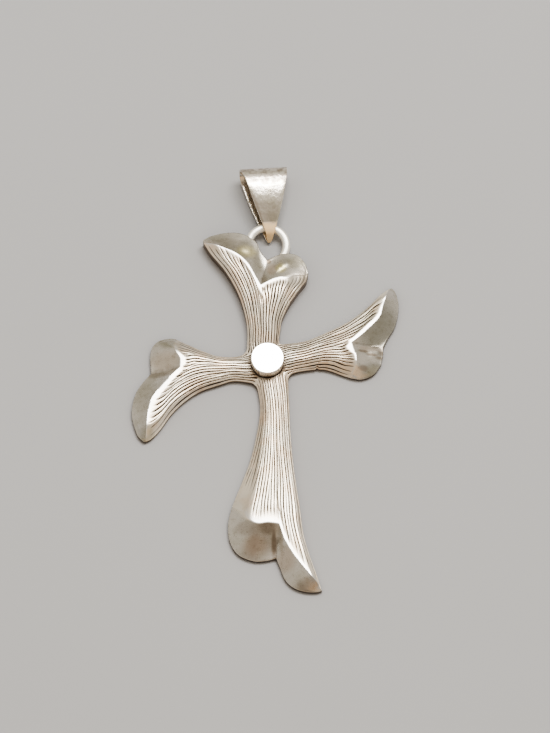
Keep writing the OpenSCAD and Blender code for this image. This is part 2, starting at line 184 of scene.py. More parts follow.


# ---- shape of the arms

# Form of each arm, by its side of the crossing:
# turn: degrees from the right arm to this one
# cut: depth of its flutes as a share of the engraved depth
# fade: how far the flutes fade out on the short lobe, and at the long lobe's tip
# nicks: lobe (1 long, -1 short), share of the way out, half length as such a share, and depth in mm
# long_edge, short_edge: share of the way from the crossing's corner to the ridge's end, and share of
#   the lobe's reach that is added there to what is left of the stem's half width
# ridge, rim: place across from -1 through 0 at the valley to 1 at the long lobe's tip, share of the
#   arm's reach out, and share of the long lobe's reach or, below 0, the short one's
# band: place across, and width of the polished band there in mm
# tones: place, half width and half height of a painted patch in mm, name of its tone, and strength; most are
# tarnish tones, and some umber patches are painted shade
ARM_FORMS = {
    "right": {
        "turn": 0, "cut": 1.3, "fade": (0.2, 0.7),
        "nicks": [(-1, 0.464, 0.028, 0.24)],
        "long_edge": [(0, 0), (0.24, 0.11), (0.39, 0.235), (0.54, 0.375), (0.65, 0.49), (0.82, 0.725),
            (0.91, 0.88), (1, 0.99)],
        "short_edge": [(0, 0), (0.2, -0.09), (0.53, 0), (0.67, 0.2), (0.86, 0.62), (1, 0.915)],
        "ridge": [(-1, 0.634, -0.915), (-0.7, 0.67, -0.35), (-0.45, 0.678, 0.03), (-0.2, 0.66, 0.13),
            (0, 0.64, 0.236), (0.2, 0.715, 0.335), (0.4, 0.79, 0.45), (0.6, 0.86, 0.59), (0.75, 0.882, 0.73),
            (0.9, 0.91, 0.87), (1, 0.929, 0.99)],
        "rim": [(-1, 0.64, -0.93), (-0.8, 0.72, -1), (-0.55, 0.81, -0.67), (-0.3, 0.867, 0),
            (-0.15, 0.88, 0.11), (0, 0.884, 0.225), (0.2, 0.92, 0.345), (0.4, 0.965, 0.47),
            (0.6, 0.993, 0.63), (0.8, 1, 0.79), (0.93, 0.98, 0.93), (1, 0.95, 1)],
        "band": [(-1, 0.06), (-0.75, 0.05), (-0.5, 0.1), (-0.32, 0.4), (-0.12, 0.85), (0.15, 0.55),
            (0.4, 0.65), (0.55, 0.6), (0.72, 0.34), (0.87, 0.14), (1, 0.05)],
        # The umber patch at (17.4, 2) is painted shade that dulls the highlight at the notch
        "tones": [(16.6, 5.4, 3.8, 4.6, "olive", 1), (17.4, 2, 0.9, 0.9, "umber_and_shade", 1),
            (15.3, 2.3, 2.2, 0.5, "blush", 0.8), (16.8, 5.6, 4.4, 5.4, "slate", 0.4),
            (16.4, -1.4, 2.6, 1.8, "slate", 0.8), (14.4, 1.75, 1, 0.3, "umber_and_shade", 0.8),
            (15.7, 1.35, 1, 0.3, "umber_and_shade", 0.8), (16.9, 0.95, 0.8, 0.3, "umber_and_shade", 0.7),
            (16.4, -1.4, 2.4, 1.6, "olive", 1), (14.4, -0.9, 0.9, 0.5, "umber_and_shade", 0.7),
            # The umber patch at (9.4, -0.9) is painted shade on the arm's lower half
            (18.2, 1.2, 0.8, 1.4, "umber_and_shade", 0.5), (9.4, -0.9, 4.5, 1.5, "umber_and_shade", 0.3),
            (11.5, 3.6, 2.4, 1.8, "blush", 0.5)],
    },
    "top": {
        "turn": 90, "cut": 1.15, "fade": (0, 0.3),
        "nicks": [(-1, 0.6, 0.02, 0.08)],
        "long_edge": [(0, 0), (0.22, 0.06), (0.41, 0.185), (0.57, 0.34), (0.75, 0.58), (0.9, 0.84),
            (1, 0.985)],
        "short_edge": [(0, 0), (0.21, 0.105), (0.34, 0.175), (0.5, 0.34), (0.6, 0.465), (0.81, 0.77),
            (0.9, 0.915), (1, 0.99)],
        "ridge": [(-1, 0.675, -0.99), (-0.8, 0.66, -0.66), (-0.65, 0.637, -0.5), (-0.45, 0.632, -0.28),
            (-0.2, 0.607, -0.05), (0, 0.572, 0.105), (0.2, 0.655, 0.2), (0.4, 0.74, 0.3), (0.6, 0.81, 0.45),
            (0.8, 0.86, 0.66), (1, 0.917, 0.985)],
        "rim": [(-1, 0.69, -1), (-0.85, 0.76, -0.92), (-0.65, 0.82, -0.75), (-0.4, 0.838, -0.48),
            (-0.15, 0.82, -0.22), (0, 0.787, 0), (0.12, 0.85, 0.1), (0.25, 0.93, 0.18), (0.4, 0.985, 0.36),
            (0.6, 1, 0.58), (0.85, 0.975, 0.86), (1, 0.94, 1)],
        "band": [(-1, 0.08), (-0.8, 0.12), (-0.5, 0.32), (-0.15, 0.34), (0, 0.16), (0.12, 0.5), (0.35, 0.5),
            (0.6, 0.3), (0.85, 0.14), (1, 0.05)],
        "tones": [(-6.3, 18.4, 3.4, 1.6, "umber_and_shade", 0.3), (-9.1, 18.3, 1.3, 1, "blush", 0.6),
            (-3.1, 17.3, 1.9, 1.3, "straw", 0.7), (-1.4, 15.4, 1.1, 1.9, "olive", 0.6),
            (0.7, 14.5, 1, 1.2, "blush", 0.8), (2, 14.6, 1, 1, "straw", 0.8),
            (4.2, 15.6, 1.8, 1.2, "olive", 0.8), (5.4, 13.4, 0.9, 1.8, "umber_and_shade", 0.45),
            (0.2, 15.9, 0.5, 0.45, "umber_and_shade", 1), (-0.4, 12.6, 0.5, 1.2, "umber_and_shade", 0.5),
            # The umber patch at (-0.9, 11.1) is painted shade that dulls the highlight below the valley
            (-0.9, 11.1, 0.5, 0.6, "umber_and_shade", 0.8), (-4.9, 9.9, 1.8, 4, "blush", 0.6),
            (4, 9, 1.4, 2.6, "umber_and_shade", 0.12)],
    },
    "left": {
        "turn": 180, "cut": 1.3, "fade": (0, 0.45),
        "nicks": [],
        "long_edge": [(0, 0), (0.2, 0.015), (0.35, 0.11), (0.51, 0.23), (0.65, 0.395), (0.77, 0.59),
            (0.87, 0.81), (0.955, 0.955), (1, 0.995)],
        "short_edge": [(0, 0), (0.17, -0.05), (0.42, 0.09), (0.59, 0.31), (0.75, 0.55), (0.9, 0.79),
            (1, 0.945)],
        "ridge": [(-1, 0.665, -0.945), (-0.75, 0.68, -0.62), (-0.5, 0.675, -0.38), (-0.25, 0.645, -0.1),
            (0, 0.643, 0.087), (0.2, 0.72, 0.21), (0.4, 0.795, 0.35), (0.6, 0.86, 0.515),
            (0.75, 0.882, 0.68), (0.9, 0.89, 0.85), (1, 0.897, 0.995)],
        "rim": [(-1, 0.675, -0.975), (-0.85, 0.725, -1), (-0.6, 0.81, -0.88), (-0.4, 0.855, -0.6),
            (-0.2, 0.865, -0.2), (0, 0.86, 0.12), (0.15, 0.918, 0.23), (0.3, 0.965, 0.35),
            (0.5, 0.994, 0.51), (0.7, 1, 0.66), (0.85, 0.98, 0.81), (0.95, 0.95, 0.935), (1, 0.91, 1)],
        "band": [(-1, 0.06), (-0.75, 0.12), (-0.45, 0.45), (0, 0.7), (0.25, 0.8), (0.5, 0.9), (0.68, 0.6),
            (0.82, 0.28), (0.93, 0.1), (1, 0.05)],
        "tones": [(-15.3, 0.2, 2.6, 1.9, "blush", 0.6), (-14.7, 3, 1.8, 1.1, "olive", 0.6),
            (-18.3, -5.6, 2.2, 3.2, "olive", 0.5), (-18, -12, 1.5, 2.2, "olive", 0.9),
            (-17.2, -9.3, 1, 1.8, "umber_and_shade", 0.25), (-16.4, -1.9, 2, 0.6, "umber_and_shade", 0.5),
            # The umber patches at (-9.3, -3.6) and (-7.9, -5.2) are painted shade on the arm's lower half
            (-9.3, -3.6, 3.6, 1.2, "umber_and_shade", 0.35), (-7.9, -5.2, 3.6, 1.5, "umber_and_shade", 0.35),
            (-9.5, -1, 4.5, 1.4, "blush", 0.35)],
    },
    "bottom": {
        "turn": 270, "cut": 0.8, "fade": (0.85, 0.2),
        "nicks": [(1, 0.25, 0.012, 0.08), (1, 0.47, 0.01, 0.05)],
        "long_edge": [(0, 0), (0.13, 0.07), (0.32, 0.18), (0.44, 0.275), (0.65, 0.475), (0.74, 0.555),
            (0.82, 0.67), (0.9, 0.81), (1, 0.98)],
        "short_edge": [(0, 0), (0.145, -0.05), (0.27, -0.015), (0.43, 0.12), (0.62, 0.32), (0.8, 0.58),
            (0.89, 0.725), (1, 0.89)],
        "ridge": [(-1, 0.625, -0.89), (-0.8, 0.66, -0.6), (-0.6, 0.695, -0.48), (-0.4, 0.716, -0.25),
            (-0.2, 0.712, 0.02), (0, 0.719, 0.222), (0.3, 0.79, 0.325), (0.55, 0.85, 0.47),
            (0.75, 0.9, 0.64), (0.9, 0.955, 0.84), (1, 0.985, 0.98)],
        "rim": [(-1, 0.64, -0.92), (-0.85, 0.7, -0.99), (-0.65, 0.775, -0.955), (-0.45, 0.835, -0.745),
            (-0.25, 0.864, -0.35), (-0.1, 0.863, -0.03), (0, 0.853, 0.16), (0.15, 0.89, 0.225),
            (0.35, 0.945, 0.32), (0.55, 0.98, 0.47), (0.75, 0.998, 0.68), (0.92, 1, 0.9), (1, 0.993, 1)],
        "band": [(-1, 0.08), (-0.8, 0.25), (-0.5, 0.75), (-0.1, 0.75), (0.1, 0.5), (0.5, 0.45), (0.8, 0.32),
            (0.92, 0.14), (1, 0.04)],
        "tones": [(0, -26.5, 1.6, 1.1, "umber_and_shade", 0.55), (-1.8, -29, 2.2, 1.8, "blush", 0.7),
            (-5.2, -26.3, 0.9, 2, "pale", 0.7), (-3.3, -26.4, 1.8, 1.3, "umber_and_shade", 0.45),
            (1, -28.8, 0.45, 2.4, "umber_and_shade", 0.9), (2.8, -31.4, 1.7, 2.2, "blush", 0.6),
            (2.8, -31.4, 1.7, 2.2, "umber_and_shade", 0.25), (6.2, -35.2, 1.9, 1.3, "umber_and_shade", 0.6),
            (-0.9, -6.2, 1.2, 5, "blush", 0.5), (0.7, -11, 1.2, 5, "pale", 1),
            (0.6, -14, 3, 10, "olive", 0.25)],
    },
}

# Height along a ridge: place across the arm and share of the rise from the rim's height
RIDGE_RISE = [(-1, 0), (-0.85, 0.42), (-0.65, 0.86), (-0.45, 1), (0, 1), (0.6, 1), (0.8, 0.97), (0.92, 0.84),
    (1, 0)]

# Low swellings left by the file on the facets: place, radius and height in mm
SWELLINGS = [(1.5, 14.6, 0.9, 0.11), (2.1, 15.1, 0.9, 0.12), (2.7, 15.6, 0.9, 0.11), (4.4, 13.3, 0.8, 0.07),
    (-3.2, 18, 1.3, 0.12), (16.1, 1.7, 1.5, 0.14), (2, -31.2, 1, 0.06)]

# Rows of the grid on the stem, the polished band and the facets, and its columns on half an arm
STEM_ROWS = 58
BAND_ROWS = 5
FACET_ROWS = 20
HALF_COLUMNS = 120
# Spread of the flutes: samples across a half, where they stop spreading, and rows to look and even out over
SAMPLES = 40
SPREAD_UP_TO = 0.78
ROW_LOOK = 0.03
EVEN_ROWS = 6
GOLDEN = 0.618
# Shares across an arm: half the valley, the part of the first row at the button, half the band's join
# in the valley, and where the flutes and the polish end before a side edge
VALLEY_HALF = 0.32
SEAT_SHARE = 0.725
BAND_JOIN = 0.08
FLUTE_EDGE = 0.045
POLISH_EDGE = 0.04
# Shares along an arm over which flutes come out of the button's pocket and run out at the band
FLUTE_START = 0.02
FLUTE_END = 0.06
VALLEY_BAND = 0.3
ROUND_STEPS = 3
NORMAL_STEP = 0.15 * MM
PULL_REACH = 0.6 * MM
SHORT_EDGE = 0.02 * MM
SOFT_PASSES = 24
BACK_ROUND = 0.1 * MM
# Painted shade on the arms' rounded underside and walls, and fainter painted shade on their back
UNDER_SHADE = 1.3
BACK_SHADE = 0.3
HOLLOW = 0.07 * MM
# Reach of the painted shade, partly tarnish, round the button's foot
FOOT_REACH = 0.7 * MM
# Button: dome, and the height from which the painted shade on its wall, partly tarnish at its foot, fades,
# and over which
DOME = 0.03 * MM
WALL_SHADE = 1.75 * MM
WALL_FADE = 1.3 * MM
# Ring: power of its worn section, unevenness, and metal worn off all round
WIRE_POWER = 2.7
WIRE_WAVE = 0.018 * MM
WIRE_WORN = 0.012 * MM
# Bail: half widths by place, as shares of its length and of its width; rounding of the strap's edges;
# length of the tip with its painted peach reflection; and how far the front leaf is lowered towards the fold
STRAP_SIDES = [(0.43, 0.27), (0.83, 0.435), (1.02, 0.5)]
STRAP_ROUND = 0.07 * MM
PEACH_REFLECTION_REACH = 2.35 * MM
LOWERED = 0.11 * MM
# Steps along the strap's leaves, fold, bend round the wire and joined tip, and the bend's turns
LEAF_STEPS = 22
FOLD_STEPS = 18
HUG_STEPS = 10
JOINT_STEPS = 6
HUG_START = radians(105)
HUG_END = radians(158)
WELD = 0.002 * MM
WHOLE_TURN = {"cent": (0, 0, 0), "axis": (0, 0, 1), "angle": 2 * pi, "use_merge": True}


def mix(a, b, share):
    return a + (b - a) * share


def smooth(x):
    x = max(0.0, min(1.0, x))
    return x * x * (3 - 2 * x)


def curve(table, x, column=1, crease=None):
    """Smooth curve through a column of a table, sharp where its first column is the crease."""
    last = len(table) - 1
    x = max(table[0][0], min(table[last][0], x))
    i = 0
    while i < last - 1 and x >= table[i + 1][0]:
        i += 1

    def slope(k, side):
        low = k if k == 0 or (table[k][0] == crease and side > 0) else k - 1
        high = k if k == last or (table[k][0] == crease and side < 0) else k + 1
        return (table[high][column] - table[low][column]) / (table[high][0] - table[low][0])

    span = table[i + 1][0] - table[i][0]
    k = (x - table[i][0]) / span
    a, b = table[i][column], table[i + 1][column]
    da, db = slope(i, 1) * span, slope(i + 1, -1) * span
    return (a * (1 + 2 * k) * (1 - k) ** 2 + da * k * (1 - k) ** 2
            + b * k * k * (3 - 2 * k) - db * k * k * (1 - k))


def flat_normal(before, after, outward):
    """Level unit vector square to a step along an outline, on the outward vector's side."""
    step = after - before
    normal = Vector((step.y, -step.x)).normalized()
    return normal if normal.dot(outward) > 0 else -normal


class Track:
    """Even samples of a function, read back by straight interpolation."""

    def __init__(self, function, low, high, count=400):
        self.low, self.step, self.last = low, (high - low) / count, count - 1
        self.values = [function(low + k * self.step) for k in range(count + 1)]

    def __call__(self, x):
        k = (x - self.low) / self.step
        i = max(0, min(self.last, int(k)))
        a, b = self.values[i], self.values[i + 1]
        return a + (b - a) * (k - i)


class Arm:
    """One arm in its own frame: u out from the crossing, v to its counter-clockwise side."""

    def __init__(self, side, form):
        arms, fittings, colours = sizes()
        self.sizes, self.form = arms, form
        self.turn, self.seed = radians(form["turn"]), form["turn"] * 0.37
        self.reach = getattr(arms, side + "_out")
        self.rim_h, self.ridge_h = arms.rim_h, arms.ridge_h
        if side == "top":
            self.rim_h = places().far_z + fittings.ring_wire / 2 + fittings.ring_cover
            self.ridge_h = self.rim_h + arms.top_ridge_rise
        # On the long lobe's side (1) and on the short lobe's (-1)
        self.lobe = {1: getattr(arms, side + "_long"), -1: getattr(arms, side + "_short")}
        self.half = {way: arms.stem_w / 2 + way * arms.stem_shift for way in (1, -1)}
        self.corner = {way: half + arms.corner_round * (1 - cos(pi / 4)) for way, half in self.half.items()}
        self.pocket_r = fittings.button_d / 2 + fittings.button_gap
        self.tones = [(*place, Vector(getattr(colours, tone)), share)
                      for *place, tone, share in form["tones"]]
        self.ridge = Track(lambda t: self.line_at(form["ridge"], t), -1, 1)
        self.rim = Track(lambda t: self.line_at(form["rim"], t), -1, 1)
        self.rise = Track(lambda t: curve(RIDGE_RISE, t), -1, 1)
        self.start = Track(self.start_at, -1, 1)
        self.edge = {way: Track(lambda s: self.edge_at(form[name], way, s), 0, 1)
                     for way, name in ((1, "long_edge"), (-1, "short_edge"))}
        self.band = Track(lambda t: self.band_at(form["band"], t), -1, 1)
        self.rows = {way: self.spread(way) for way in (-1, 1)}

    def line_at(self, table, t):
        side = curve(table, t, 2, 0)
        return Vector((self.reach * curve(table, t, 1, 0), side * self.lobe[1 if side > 0 else -1]))

    def edge_at(self, table, way, s):
        """Place on the side edge of the long lobe (way 1) or the short lobe (way -1)."""
        start, side = self.half[-way], self.half[way] * (1 - s) + curve(table, s) * self.lobe[way]
        end, around = self.ridge(way).x, self.sizes.corner_round
        left = max(0, around - s * (end - start))
        turn = pi / 4 * left / around
        u = mix(start, end, s) + left - around * sin(turn)
        return Vector((u, way * (side + around * (1 - cos(turn)))))

    def start_at(self, t):
        """Place on the arm's first row: along a seam to the button's pocket and round its edge."""
        way = 1 if t > 0 else -1
        corner = Vector((self.corner[-way], way * self.corner[way]))
        seam = self.pocket_r / corner.length
        if abs(t) >= SEAT_SHARE:
            return corner * mix(seam, 1, (abs(t) - SEAT_SHARE) / (1 - SEAT_SHARE))
        v = mix(-self.corner[-1], self.corner[1], (t / SEAT_SHARE + 1) / 2) * seam
        return Vector((sqrt(max(0, self.pocket_r ** 2 - v * v)), v))

    def stem_at(self, s, t):
        share = (t + 1) / 2
        chord = self.edge[-1](s).lerp(self.edge[1](s), share)
        from_start = self.start(t) - self.edge[-1](0).lerp(self.edge[1](0), share)
        from_ridge = self.ridge(t) - self.edge[-1](1).lerp(self.edge[1](1), share)
        return chord + from_start * (1 - s) ** 3 + from_ridge * s ** 1.7

    def band_start(self, table, t):
        """Share of the way to the ridge at which the polished band has its width square to the ridge."""
        near = t + (0.01 if t < 0.985 and not -0.01 < t < 0 else -0.01)
        along = (self.ridge(near) - self.ridge(t)).normalized()
        square = abs(((self.ridge(t) - self.stem_at(0.96, t)) / 0.04).cross(along))
        return 1 - min(0.3, curve(table, t) * MM / max(square, 1e-4))

    def band_at(self, table, t):
        """Start of the band, which is drawn straight and narrower across the valley."""
        if abs(t) > BAND_JOIN:
            return self.band_start(table, t)
        near, far = self.band_start(table, -BAND_JOIN), self.band_start(table, BAND_JOIN)
        return 1 - (1 - mix(near, far, (t / BAND_JOIN + 1) / 2)) * mix(VALLEY_BAND, 1, abs(t) / BAND_JOIN)

    def spread(self, way):
        """Of each row of a half: shares of its width from the side edge in, and how many flutes it takes."""
        even = [way * (1 - k / SAMPLES) for k in range(SAMPLES + 1)]
        rows = []
        for i in range(STEM_ROWS + 1):
            r = min(0.95, i / STEM_ROWS)
            near, here, far = ([self.stem_at(at * self.band(t), t) for t in even]
                               for at in (max(0, r - ROW_LOOK), r, r + ROW_LOOK))
            wide = [0.0]
            for k in range(SAMPLES):
                run = (far[k] + far[k + 1] - near[k] - near[k + 1]).normalized()
                wide.append(wide[-1] + max(1e-9, abs((here[k + 1] - here[k]).cross(run))))
            rows.append(wide)
        fixed = int(SPREAD_UP_TO * STEM_ROWS)
        rows = [[sum(column) / len(window) for column in zip(*window)]
                for window in (rows[max(0, i - EVEN_ROWS):i + EVEN_ROWS + 1] for i in range(STEM_ROWS + 1))]
        found = []
        for i, row in enumerate(rows):
            kept = rows[min(i, fixed)]
            from_seam = smooth(i / STEM_ROWS / 0.15)
            pitch = mix(self.sizes.neck_pitch, self.sizes.ridge_pitch, smooth(i / STEM_ROWS))
            shares = [mix(k / SAMPLES, w / kept[-1], from_seam) for k, w in enumerate(kept)]
            found.append((shares, row[-1], row[-1] / pitch))
        return found

    def stem_z(self, s, t, band):
        edge = mix(self.sizes.stem_edge_h, self.rim_h, s)
        crown = edge + (self.sizes.crown_h - self.sizes.stem_edge_h) * (1 - abs(t) ** 2.4)
        r = min(1.0, s / band)
        hollow = HOLLOW * smooth((r - 0.72) / 0.2) * smooth((1 - r) / 0.1)
        return mix(crown, self.ridge_z(t), r ** 1.15) - hollow

    def ridge_z(self, t):
        return mix(self.rim_h, self.ridge_h, self.rise(t))

    def facet_z(self, q, t):
        slope = mix(self.rim_h, self.ridge_z(t), (1 - q) ** 1.12)
        return slope - self.sizes.valley_d * max(0, 1 - abs(t) / VALLEY_HALF) * sin(pi * q)

    def grooves(self, i, way):
        """Middle and half width as shares of a half, and depth, of each groove in a row."""
        r, (_, wide, count) = i / STEM_ROWS, self.rows[way][min(i, STEM_ROWS)]
        counts = [row[2] for row in self.rows[way]]
        most, least = ceil(max(counts)), int(min(counts))
        extra = most - least
        order = sorted(range(extra), key=lambda k: k * GOLDEN % 1)
        comes = {round((k + 0.5) * most / extra - 0.5): order[k] for k in range(extra)}
        parts = [smooth((count - least - comes[k] + 1.5) / 4) if k in comes else 1.0 for k in range(most)]
        total, passed, found = sum(parts), 0.0, []
        for k, part in enumerate(parts):
            seed = self.seed + 17 * way
            own = noise.noise(Vector((k * 7.31, seed, 1.7)))
            sway = noise.noise(Vector((k * 3.17, r * 3.0, seed)))
            uneven = noise.noise(Vector((k * 2.9, r * 8.0, seed + 3)))
            depth = part * self.form["cut"] * (0.9 + 0.35 * uneven)
            depth *= smooth((1.0 + 0.04 * own - r) / FLUTE_END) * smooth(r / FLUTE_START)
            middle = passed + part * (0.5 + 0.14 * own + 0.06 * sway)
            passed += part
            found.append((middle / total, self.sizes.flute_w / 2 * (1 + 0.3 * sway) / wide, depth))
        return found

    def nick_at(self, s, t):
        """How far a nick in a side edge draws the metal inward."""
        depth = sum(deep * smooth(1 - abs(s - place) / wide)
                    for way, place, wide, deep in self.form["nicks"] if way * t > 0)
        return depth * MM * smooth((abs(t) - 0.7) / 0.3)

    def place(self, point):
        """Turns a point of the arm's own frame into the pendant's."""
        c, s = cos(self.turn), sin(self.turn)
        return Vector((point.x * c - point.y * s, point.x * s + point.y * c))


def places():
    """Places of the strap's bend round the wire, its pitch and lift, and of the ring, which rises to it."""
    a, f, _ = sizes()
    wire_r, at = f.ring_wire / 2, SimpleNamespace()
    hug_w = 0.16 * f.bail_w
    sag = hug_w ** 2 / (2 * f.ring_r)
    at.hug_r = wire_r + f.link_gap + sag / 2 + f.bail_t
    at.hug_y = f.bail_seam + 0.1 * f.bail_t + at.hug_r
    at.hug_z = f.bail_t + f.link_gap + wire_r + hug_w * sin(f.bail_roll) / 2
    at.pitch = asin(f.bail_w / 2 * sin(f.bail_roll) / f.bail_len)
    at.lift = f.bail_tip_w / 2 * sin(f.bail_roll) + at.hug_y * sin(at.pitch)
    at.far_z = at.lift + at.hug_z
    near_z = wire_r + (f.link_gap + f.bail_t) / 2
    at.tilt = asin((at.far_z - near_z) / (2 * f.ring_r))
    at.ring_z = (at.far_z + near_z) / 2
    notch = next(out for across, out, _ in ARM_FORMS["top"]["rim"] if across == 0)
    at.ring_y = notch * a.top_out - f.ring_bury + f.ring_r
    at.wire_y = at.ring_y + f.ring_r * cos(at.tilt) - sag / 2
    return at


# ---- meshes


def add_object(name, data):
    """Adds an object with its data to the scene."""
    made = bpy.data.objects.new(name, data)
    bpy.context.scene.collection.objects.link(made)
    return made


def mesh_object(bm, name, material):
    """Turns a bmesh into an object."""
    mesh = bpy.data.meshes.new(name)
    bm.to_mesh(mesh)
    bm.free()
    mesh.materials.append(material)
    return add_object(name, mesh)


def add_piece(bm, name, material, sharp):
    """Turns a bmesh into a piece that rides on the pendant's one body."""
    bmesh.ops.recalc_face_normals(bm, faces=bm.faces)
    piece = mesh_object(bm, name, material)
    piece.data.shade_smooth()
    piece.data.set_sharp_from_angle(angle=radians(sharp))
    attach(piece, "root")
    return piece


def add_grid(bm, columns, rows):
    """Adds a grid and gives its vertices by row and column."""
    grid = bmesh.ops.create_grid(bm, x_segments=columns, y_segments=rows, size=0.5)["verts"]
    return {(round((v.co.y + 0.5) * rows), round((v.co.x + 0.5) * columns)): v for v in grid}


def read_back(shares, share):
    """Place, as a share of a half, at which the rising shares come up to a share."""
    i = min(SAMPLES, bisect_right(shares, share))
    return (i - 1 + (share - shares[i - 1]) / (shares[i] - shares[i - 1])) / SAMPLES


def arm_grid(bm, arm, layers):
    """Adds one arm's top surface as a grid whose columns follow the flutes, and gives its first row."""
    middle, columns, rows = HALF_COLUMNS, 2 * HALF_COLUMNS, STEM_ROWS + BAND_ROWS + FACET_ROWS
    cells = add_grid(bm, columns, rows)
    sides = [(-1, j / middle) if j <= middle else (1, (columns - j) / middle) for j in range(columns + 1)]
    flat, where = {}, {}
    for i in range(rows + 1):
        r = min(1.0, i / STEM_ROWS)
        past = max(0, i - STEM_ROWS - BAND_ROWS) / FACET_ROWS
        q = mix(past, past * past, 0.55)
        band_share = min(1.0, max(0, i - STEM_ROWS) / BAND_ROWS)
        for j, (way, share) in enumerate(sides):
            t = way * (1 - read_back(arm.rows[way][min(i, STEM_ROWS)][0], share))
            band = arm.band(t)
            s = r * band if i <= STEM_ROWS else mix(band, 1, band_share)
            if q > 0:
                flat[i, j] = arm.ridge(t).lerp(arm.rim(t), q)
                z = arm.facet_z(q, t)
            else:
                flat[i, j] = arm.stem_at(s, t) - Vector((0, way * arm.nick_at(s, t)))
                z = arm.stem_z(s, t, band)
            where[i, j] = (r, q, t, z)
    round_off(arm, flat, where, rows, columns, middle)
    for i in range(rows + 1):
        grooves = {way: arm.grooves(i, way) for way in (-1, 1)}
        for j, (way, share) in enumerate(sides):
            v = cells[i, j]
            r, q, t, z = where[i, j]
            inside = smooth((1 - abs(t)) / FLUTE_EDGE)
            point = arm.place(flat[i, j])
            soft = smooth((-0.5 - t) / 0.3) * (smooth((0.8 - q) / 0.3) if q > 0 else smooth((r - 0.7) / 0.2))
            tip = smooth((t - 0.72) / 0.25) * smooth((r - 0.66) / 0.25)
            plain = max(arm.form["fade"][0] * soft, arm.form["fade"][1] * tip)
            cut = i < STEM_ROWS + BAND_ROWS
            flute = groove_at(grooves[way], share) * inside * (1 - plain) if cut else 0.0
            z += swell(point, q) + ripple(point) * smooth(r / 0.1) * inside - flute * arm.sizes.flute_d
            v.co = Vector((point.x, point.y, z))
            v[layers["flute"]] = flute
            v[layers["soft"]] = soft
            v[layers["polish"]] = (smooth((i - STEM_ROWS + 2) / BAND_ROWS) * (1 - smooth(q / 0.03))
                                   * smooth((1 - abs(t)) / POLISH_EDGE) * (1 - 0.7 * soft))
            satin = 0.5 * soft * smooth((r - 0.75) / 0.25)
            v[layers["facet"]] = mix(satin, 1, smooth(q / mix(0.02, 0.3, soft)))
            # Painted shade, partly tarnish, at the button's foot, along the side edges, behind the ridges
            # and in the valleys
            v[layers["shade_and_tarnish"]] = shade_and_tarnish_at(arm, r, q, t, point)
            v[layers["tint"]] = (*tint_at(arm.tones, point), 1)
    outline = [cells[i, 0] for i in range(rows + 1)] + [cells[rows, j] for j in range(1, columns)]
    outline += [cells[i, columns] for i in range(rows, 0, -1)]
    kept, merged = outline[0], {}
    for v in outline[1:]:
        if (v.co - kept.co).length < SHORT_EDGE:
            merged[v] = kept
        else:
            kept = v
    bmesh.ops.weld_verts(bm, targetmap=merged)
    return [cells[0, j] for j in range(columns + 1)]


def line_normals(line, outwards):
    """Level normals along a line of places, each taken over a step that is long enough."""
    normals = []
    for k, outward in enumerate(outwards):
        a, b = k, k
        while a > 0 and (line[a] - line[k]).length < NORMAL_STEP:
            a -= 1
        while b < len(line) - 1 and (line[b] - line[k]).length < NORMAL_STEP:
            b += 1
        normals.append(flat_normal(line[a], line[b], outward))
    return normals


def round_off(arm, flat, where, rows, columns, middle):
    """Draws the points near the arm's outline inward, which leaves room for its rounded edge."""
    side = {j: [flat[i, j].copy() for i in range(rows + 1)] for j in (0, columns)}
    normals = {j: line_normals(line, [Vector((0.1, -1 if j == 0 else 1))] * (rows + 1))
               for j, line in side.items()}
    for j, line in side.items():
        normals[j][0] = line[0].normalized()
    last = [flat[rows, j].copy() for j in range(columns + 1)]
    ends = line_normals(last, [last[j] - arm.ridge(where[rows, j][2]) for j in range(columns + 1)])
    for (i, j), point in list(flat.items()):
        own = 0 if j <= middle else columns
        near = max(0.0, 1 - (point - side[own][i]).length / PULL_REACH) if j != middle else 0.0
        out = max(0.0, 1 - (point - last[j]).length / PULL_REACH)
        if near or out:
            a, b = normals[own][i], ends[j]
            squeeze = max(0.4, 1 + min(near, out) * a.dot(b))
            flat[i, j] = point - (near * a + out * b) * arm.sizes.edge_round / squeeze


def groove_at(grooves, share):
    """Depth from 0 on a crest to 1 at a groove's bottom, at a share of the half's width."""
    return max(depth * max(0, 1 - abs(share - middle) / half) ** 1.15 for middle, half, depth in grooves)


def ripple(point):
    """Slight unevenness of hand-finished metal."""
    broad = noise.noise(Vector((point.x, point.y, 3.0 * MM)) / (2.4 * MM)) * 0.018
    return (broad + noise.noise(Vector((point.x, point.y, 0)) / (0.7 * MM)) * 0.004) * MM


def swell(point, q):
    """Height of the low swellings at a point of a facet."""
    return sum(high * MM * smooth(1.2 - 1.2 * hypot(point.x / MM - x, point.y / MM - y) / wide)
               for x, y, wide, high in SWELLINGS) * smooth(q / 0.15) * smooth((1 - q) / 0.15)


def shade_and_tarnish_at(arm, r, q, t, point):
    """Painted shade, partly tarnish, from 0 to 1: at the button's foot, along the side edges, behind the
    ridges and in the valleys.
    """
    foot = 1 - smooth((point.length - arm.pocket_r) / FOOT_REACH)
    side = 0.35 * smooth((abs(t) - 0.8) / 0.2) * (1 - smooth((r - 0.8) / 0.2)) if q == 0 else 0.0
    behind = 0.3 * (1 - smooth(q / 0.3)) * smooth(q / 0.04) if q > 0 else 0.0
    valley = 0.55 * max(0, 1 - abs(t) / 0.07) * smooth(q / 0.1) if q > 0 else 0.0
    return min(1.0, max(0.9 * foot, side, behind, valley))


def tint_at(tones, point):
    """Colour that the patches round a point blend to over plain white; some umber patches among them are
    painted shade.
    """
    tint = Vector((1, 1, 1))
    for x, y, wide, tall, tone, strength in tones:
        away = hypot((point.x / MM - x) / wide, (point.y / MM - y) / tall)
        if away < 1.2:
            tint = tint.lerp(tone, strength * smooth(1.6 - 1.4 * away))
    return tint


